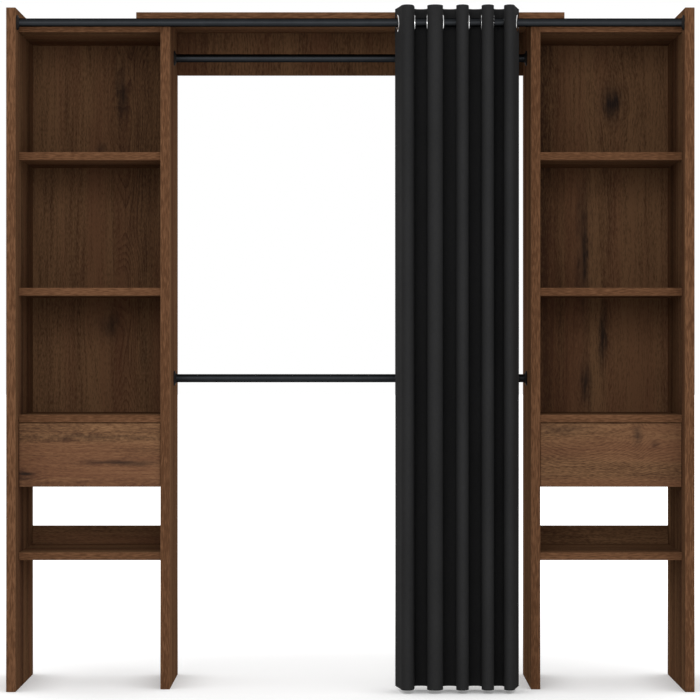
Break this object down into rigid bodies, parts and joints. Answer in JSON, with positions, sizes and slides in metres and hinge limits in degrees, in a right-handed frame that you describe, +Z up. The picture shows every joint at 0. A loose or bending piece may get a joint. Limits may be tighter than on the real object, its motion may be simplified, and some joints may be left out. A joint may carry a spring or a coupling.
{
  "type": "curtain wardrobe",
  "caption": "Open wardrobe with two shelf columns, drawers, double hanging rods between them and a black eyelet curtain on a full-width front rod.",
  "frame": {"origin": "on the floor, under the middle of the whole outline, the curtain's front folds included", "axes": "+Z up, +X to the right as seen from the front, +Y from the front to the back"},
  "size_m": [2.0428, 0.558, 2.0345],
  "materials": {
    "walnut_board": "walnut-effect melamine, satin, vertical grain on uprights and horizontal on shelves and fronts",
    "walnut_back": "walnut-effect printed back board, matte, vertical grain",
    "drawer_lining": "plain dark walnut foil, matte",
    "black_steel": "black powder coat, satin",
    "zinc_steel": "zinc-plated sheet",
    "eyelet_metal": "bright nickel",
    "black_cloth": "matte black woven polyester"
  },
  "bodies": {
    "wardrobe": {"left_outer_side": "walnut_board", "left_inner_side": "walnut_board", "left_top_board": "walnut_board", "left_upper_shelf": "walnut_board", "left_lower_shelf": "walnut_board", "left_drawer_cover": "walnut_board", "left_base_shelf": "walnut_board", "left_rear_rail": "walnut_board", "left_back_panel": "walnut_back", "right_outer_side": "walnut_board", "right_inner_side": "walnut_board", "right_top_board": "walnut_board", "right_upper_shelf": "walnut_board", "right_lower_shelf": "walnut_board", "right_drawer_cover": "walnut_board", "right_base_shelf": "walnut_board", "right_rear_rail": "walnut_board", "right_back_panel": "walnut_back", "top_plank": "walnut_board", "rear_fascia": "walnut_back", "curtain_rod": "black_steel", "curtain_rod_left_flange": "black_steel", "curtain_rod_right_flange": "black_steel", "upper_hanging_rod": "black_steel", "upper_hanging_rod_left_flange": "black_steel", "upper_hanging_rod_right_flange": "black_steel", "lower_hanging_rod": "black_steel", "lower_hanging_rod_left_flange": "black_steel", "lower_hanging_rod_right_flange": "black_steel", "left_drawer_left_runner": "zinc_steel", "left_drawer_right_runner": "zinc_steel", "right_drawer_left_runner": "zinc_steel", "right_drawer_right_runner": "zinc_steel"},
    "left_drawer": {"left_drawer_front": "walnut_board", "left_drawer_left_side": "drawer_lining", "left_drawer_right_side": "drawer_lining", "left_drawer_back": "drawer_lining", "left_drawer_bottom": "drawer_lining", "left_drawer_left_slide": "zinc_steel", "left_drawer_right_slide": "zinc_steel"},
    "right_drawer": {"right_drawer_front": "walnut_board", "right_drawer_left_side": "drawer_lining", "right_drawer_right_side": "drawer_lining", "right_drawer_back": "drawer_lining", "right_drawer_bottom": "drawer_lining", "right_drawer_left_slide": "zinc_steel", "right_drawer_right_slide": "zinc_steel"},
    "curtain": {"curtain_cloth": "black_cloth", "eyelet_10": "eyelet_metal"},
    "ring_9": {"eyelet_9": "eyelet_metal"},
    "ring_8": {"eyelet_8": "eyelet_metal"},
    "ring_7": {"eyelet_7": "eyelet_metal"},
    "ring_6": {"eyelet_6": "eyelet_metal"},
    "ring_5": {"eyelet_5": "eyelet_metal"},
    "ring_4": {"eyelet_4": "eyelet_metal"},
    "ring_3": {"eyelet_3": "eyelet_metal"},
    "ring_2": {"eyelet_2": "eyelet_metal"},
    "ring_1": {"eyelet_1": "eyelet_metal"}
  },
  "joints": [
    {"name": "left_drawer_slide", "type": "slide", "parent": "wardrobe", "child": "left_drawer", "axis": [0, -1, 0], "range_m": [0, 0.27]},
    {"name": "right_drawer_slide", "type": "slide", "parent": "wardrobe", "child": "right_drawer", "axis": [0, -1, 0], "range_m": [0, 0.27]},
    {"name": "curtain_slide", "type": "slide", "parent": "wardrobe", "child": "curtain", "axis": [-1, 0, 0], "range_m": [-0.46, 0.44]},
    {"name": "curtain_draw", "type": "slide", "parent": "curtain", "child": "ring_1", "axis": [1, 0, 0], "range_m": [-0.66, 0], "deforming": ["curtain_cloth"]},
    {"name": "ring_2_draw", "type": "slide", "parent": "curtain", "child": "ring_2", "axis": [1, 0, 0], "range_m": [-0.6326, 0]},
    {"name": "ring_3_draw", "type": "slide", "parent": "curtain", "child": "ring_3", "axis": [1, 0, 0], "range_m": [-0.5592, 0]},
    {"name": "ring_4_draw", "type": "slide", "parent": "curtain", "child": "ring_4", "axis": [1, 0, 0], "range_m": [-0.4563, 0]},
    {"name": "ring_5_draw", "type": "slide", "parent": "curtain", "child": "ring_5", "axis": [1, 0, 0], "range_m": [-0.3369, 0]},
    {"name": "ring_6_draw", "type": "slide", "parent": "curtain", "child": "ring_6", "axis": [1, 0, 0], "range_m": [-0.24, 0]},
    {"name": "ring_7_draw", "type": "slide", "parent": "curtain", "child": "ring_7", "axis": [1, 0, 0], "range_m": [-0.1356, 0]},
    {"name": "ring_8_draw", "type": "slide", "parent": "curtain", "child": "ring_8", "axis": [1, 0, 0], "range_m": [-0.0629, 0]},
    {"name": "ring_9_draw", "type": "slide", "parent": "curtain", "child": "ring_9", "axis": [1, 0, 0], "range_m": [-0.0169, 0]}
  ],
  "couplings": [
    {"joint": "ring_2_draw", "follows": "curtain_draw", "ratio": 0.95769},
    {"joint": "ring_3_draw", "follows": "curtain_draw", "ratio": 0.84655},
    {"joint": "ring_4_draw", "follows": "curtain_draw", "ratio": 0.69061},
    {"joint": "ring_5_draw", "follows": "curtain_draw", "ratio": 0.50975},
    {"joint": "ring_6_draw", "follows": "curtain_draw", "ratio": 0.36283},
    {"joint": "ring_7_draw", "follows": "curtain_draw", "ratio": 0.20476},
    {"joint": "ring_8_draw", "follows": "curtain_draw", "ratio": 0.09458},
    {"joint": "ring_9_draw", "follows": "curtain_draw", "ratio": 0.02485}
  ]
}
